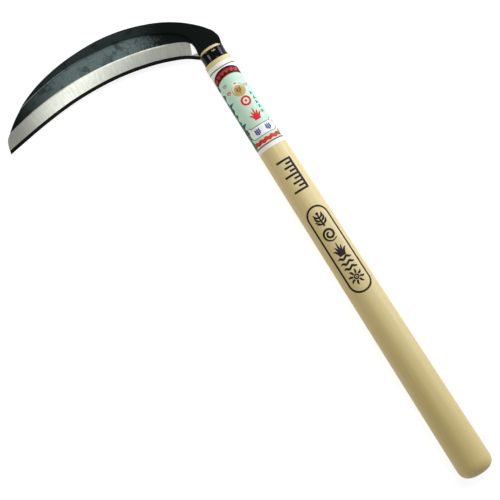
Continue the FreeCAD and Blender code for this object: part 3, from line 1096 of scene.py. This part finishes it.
def pin_material():
    """Bright drawn wire."""
    n = Nodes("bright_pin")
    lathe = n.noise(n.stretched(1.0, 6.0, 1.0), 2.0, 3.0, 0.6)
    colour = n.mix(lathe, rgb(0.30, 0.30, 0.29), rgb(0.46, 0.46, 0.44))
    n.set(Base_Color=colour, Metallic=1.0, Roughness=n.band(lathe, 0.3, 0.7, 0.28, 0.4))
    return n.material


def ink_material(name, colour, thin, share=0.5, roughness=0.5, patch=0.8):
    """Printing ink, laid a little unevenly: thin is what shows where there is less of it."""
    n = Nodes(name)
    cloud = n.noise(n.place(), patch, 4.0, 0.65)
    n.set(Base_Color=n.mix(n.band(cloud, 0.42, 0.72, 0.0, share), colour, thin),
          Roughness=roughness, Specular_IOR_Level=0.25)
    return n.material


# ---------------- stage, light and camera

FLOOR_SIZE, FLOOR_DROP = 12, 0.0002  # metres; it lies a hair under the tool
FLOOR_GLOW = 0.84
WORLD = 0.26
AIM = (0.2505, 0.0609, 0.0)  # what the camera looks at
VIEW_DISTANCE = 0.943
VIEW_TILT = math.radians(7.0)  # the camera leans towards the butt's side of square-on
HANDLE_TURN = math.atan2(0.8472, 0.5313)  # the handle across the view, from level, head up
LENS, SENSOR = 82.44, 36.0
BLADE_AT, HEAD_AT, FERRULE_AT = (0.445, 0.12, 0.0), (0.36, 0.0, 0.0), (0.405, 0.0, 0.0)


def floor():
    low, _ = cad_box
    bpy.ops.mesh.primitive_plane_add(size=FLOOR_SIZE, location=(0, 0, low[2] - FLOOR_DROP))
    plane = bpy.context.object
    plane.name = "floor"
    n = Nodes("white_floor")
    soft = n.noise(n.place(), 0.004, 1.0)
    n.set(Base_Color=n.mix(soft, rgb(0.3, 0.3, 0.3), rgb(0.31, 0.31, 0.31)), Roughness=0.9,
          Specular_IOR_Level=0.0, Emission_Color=rgb(1, 1, 1), Emission_Strength=FLOOR_GLOW)
    plane.data.materials.append(n.material)


def area_light(name, direction, distance, along, across, watts, centre, tint=(1, 1, 1)):
    """A soft panel, its first side as near to the X axis as its direction lets it be."""
    data = bpy.data.lights.new(name, "AREA")
    data.shape = "RECTANGLE"
    data.size, data.size_y = along, across
    data.energy = watts
    data.color = tint
    away = Vector(direction).normalized()
    side = (Vector((1, 0, 0)) - away * away.x).normalized()
    turn = Matrix((side, away.cross(side), away)).transposed().to_4x4()
    lamp = bpy.data.objects.new(name, data)
    lamp.matrix_world = Matrix.Translation(Vector(centre) + away * distance) @ turn
    bpy.context.scene.collection.objects.link(lamp)


def light_and_camera():
    scene = bpy.context.scene
    scene.view_settings.view_transform = "Standard"
    scene.view_settings.look = "None"
    world = bpy.data.worlds.new("soft_room")
    world.use_nodes = True
    sky = world.node_tree.nodes["Background"]
    sky.inputs["Color"].default_value = rgb(1, 1, 1)
    sky.inputs["Strength"].default_value = WORLD
    scene.world = world
    area_light("key", (0.17, -0.92, 0.36), 1.2, 0.9, 0.5, 8.8, HEAD_AT, (0.9, 1.0, 1.22))
    area_light("strip", (0.10, -0.35, 0.93), 1.3, 0.06, 0.6, 5.6, BLADE_AT)
    area_light("plunge", (0.29, 0.565, 0.77), 1.2, 0.3, 0.3, 2.1, BLADE_AT)
    area_light("glint", (0.5, -0.8, 0.32), 1.2, 0.12, 0.12, 3.2, FERRULE_AT)

    tilt = VIEW_TILT
    forward = Vector((math.sin(tilt), 0, -math.cos(tilt)))
    to_butt = Vector((-math.cos(tilt), 0, -math.sin(tilt)))
    to_right = Vector((0, -1, 0))
    right = to_butt * math.cos(HANDLE_TURN) + to_right * math.sin(HANDLE_TURN)
    up = -to_butt * math.sin(HANDLE_TURN) + to_right * math.cos(HANDLE_TURN)
    data = bpy.data.cameras.new("view")
    data.lens, data.sensor_width = LENS, SENSOR
    data.clip_start = 0.01
    camera = bpy.data.objects.new("view", data)
    axes = Matrix((right, up, -forward)).transposed().to_4x4()
    camera.matrix_world = Matrix.Translation(Vector(AIM) - forward * VIEW_DISTANCE) @ axes
    scene.collection.objects.link(camera)
    scene.camera = camera


# ---------------- putting it together

wood = wood_material()
scale = scale_material()
# the last colour is for the heel's slope, painted brighter as a painted highlight
ground = ground_material("ground_iron", (0.39, 0.40, 0.35), 0.33, 0.985, 0.35,
                         (0.92, 0.93, 0.89))
# painted shade: the honed strip's steel is coloured near black, far darker than steel's own colour
honed = ground_material("honed_steel", (0.026, 0.027, 0.025), 0.25, 0.6, 0.1)
PRINTS = {  # screen colours of each printing ink, full and where it is thin
    "mint": ((190, 226, 200), (204, 234, 211)),
    "white": ((238, 240, 232), (232, 235, 226)),
    "pale": ((224, 236, 216), (236, 240, 226)),
    "brown": ((128, 80, 40), (150, 104, 60)),
    "black": ((8, 5, 5), (22, 14, 13)),
    "gold": ((190, 158, 92), (206, 178, 118)),
    "red": ((222, 18, 24), (226, 44, 40)),
    "rose": ((206, 112, 108), (216, 140, 132)),
    "pink": ((226, 184, 172), (230, 198, 186)),
    "teal": ((40, 96, 92), (66, 120, 112)),
    "green": ((46, 108, 74), (70, 130, 92)),
    "slate": ((44, 66, 78), (66, 90, 98)),
    "blue": ((40, 66, 140), (62, 90, 156)),
}
inks = {None: ink_material("paper", srgb(236, 238, 228), srgb(228, 231, 220))}
for ink, (full, thin) in PRINTS.items():
    inks[ink] = ink_material("print_" + ink, srgb(*full), srgb(*thin))
stamp_ink = ink_material("stamp_ink", srgb(10, 2, 12), srgb(44, 26, 44), 0.4, 0.55, 1.2)

pieces = [
    (handle(wood), "handle_wood", "handle"),
    (name_stamp(stamp_ink), "handle_wood", None),
    (size_stamp(stamp_ink), "handle_wood", None),
    (label(inks), "label_paper", "paper_label"),
    (ferrule(enamel_material()), "ferrule_paint", "ferrule"),
    (blade_body(ground, scale), "blade_iron", "blade_body"),
    (edge_steel(honed, ground, scale), "hard_steel", "edge_steel"),
]
for piece, slot, node in pieces:
    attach(piece, "root")
    if node:
        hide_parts(node)
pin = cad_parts["tang_pin"]
pin.data.materials.clear()
pin.data.materials.append(pin_material())

floor()
light_and_camera()
